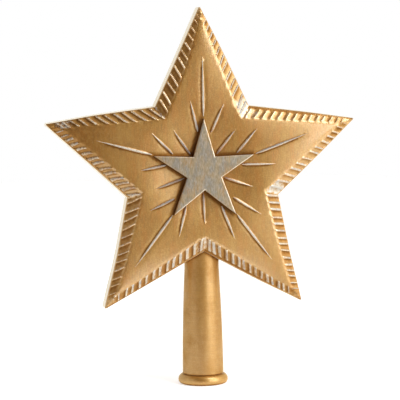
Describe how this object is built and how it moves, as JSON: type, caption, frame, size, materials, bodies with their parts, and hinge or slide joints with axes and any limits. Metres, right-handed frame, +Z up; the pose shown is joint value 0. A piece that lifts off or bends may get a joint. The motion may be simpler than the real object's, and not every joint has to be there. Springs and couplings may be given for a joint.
{
  "type": "christmas tree topper star",
  "caption": "Cast star tree topper with a ridged bevelled border, raised rays and an applied centre star, on a round socket with a blind bore for the tree's leader.",
  "frame": {"origin": "centre of the socket's mouth, on the bore's axis in the plane of the flat underside", "axes": "+Z up along the bore towards the star, the star's face looks along -Y, +X to the right as seen from the front"},
  "size_m": [0.2228, 0.0398, 0.2705],
  "materials": {
    "antique_gold": "satin antique gold metallic paint over cast resin, brown wash in the recesses and silver rubbed on the raised ridges",
    "silver_rub": "antique gold paint rubbed over with silver",
    "steel": "plain drawn steel"
  },
  "bodies": {
    "root": {"front_shell": "antique_gold", "back_panel": "antique_gold", "centre_star": "silver_rub", "socket_tube": "antique_gold", "mouth_ring": "antique_gold", "neck_pin": "steel"}
  },
  "joints": []
}
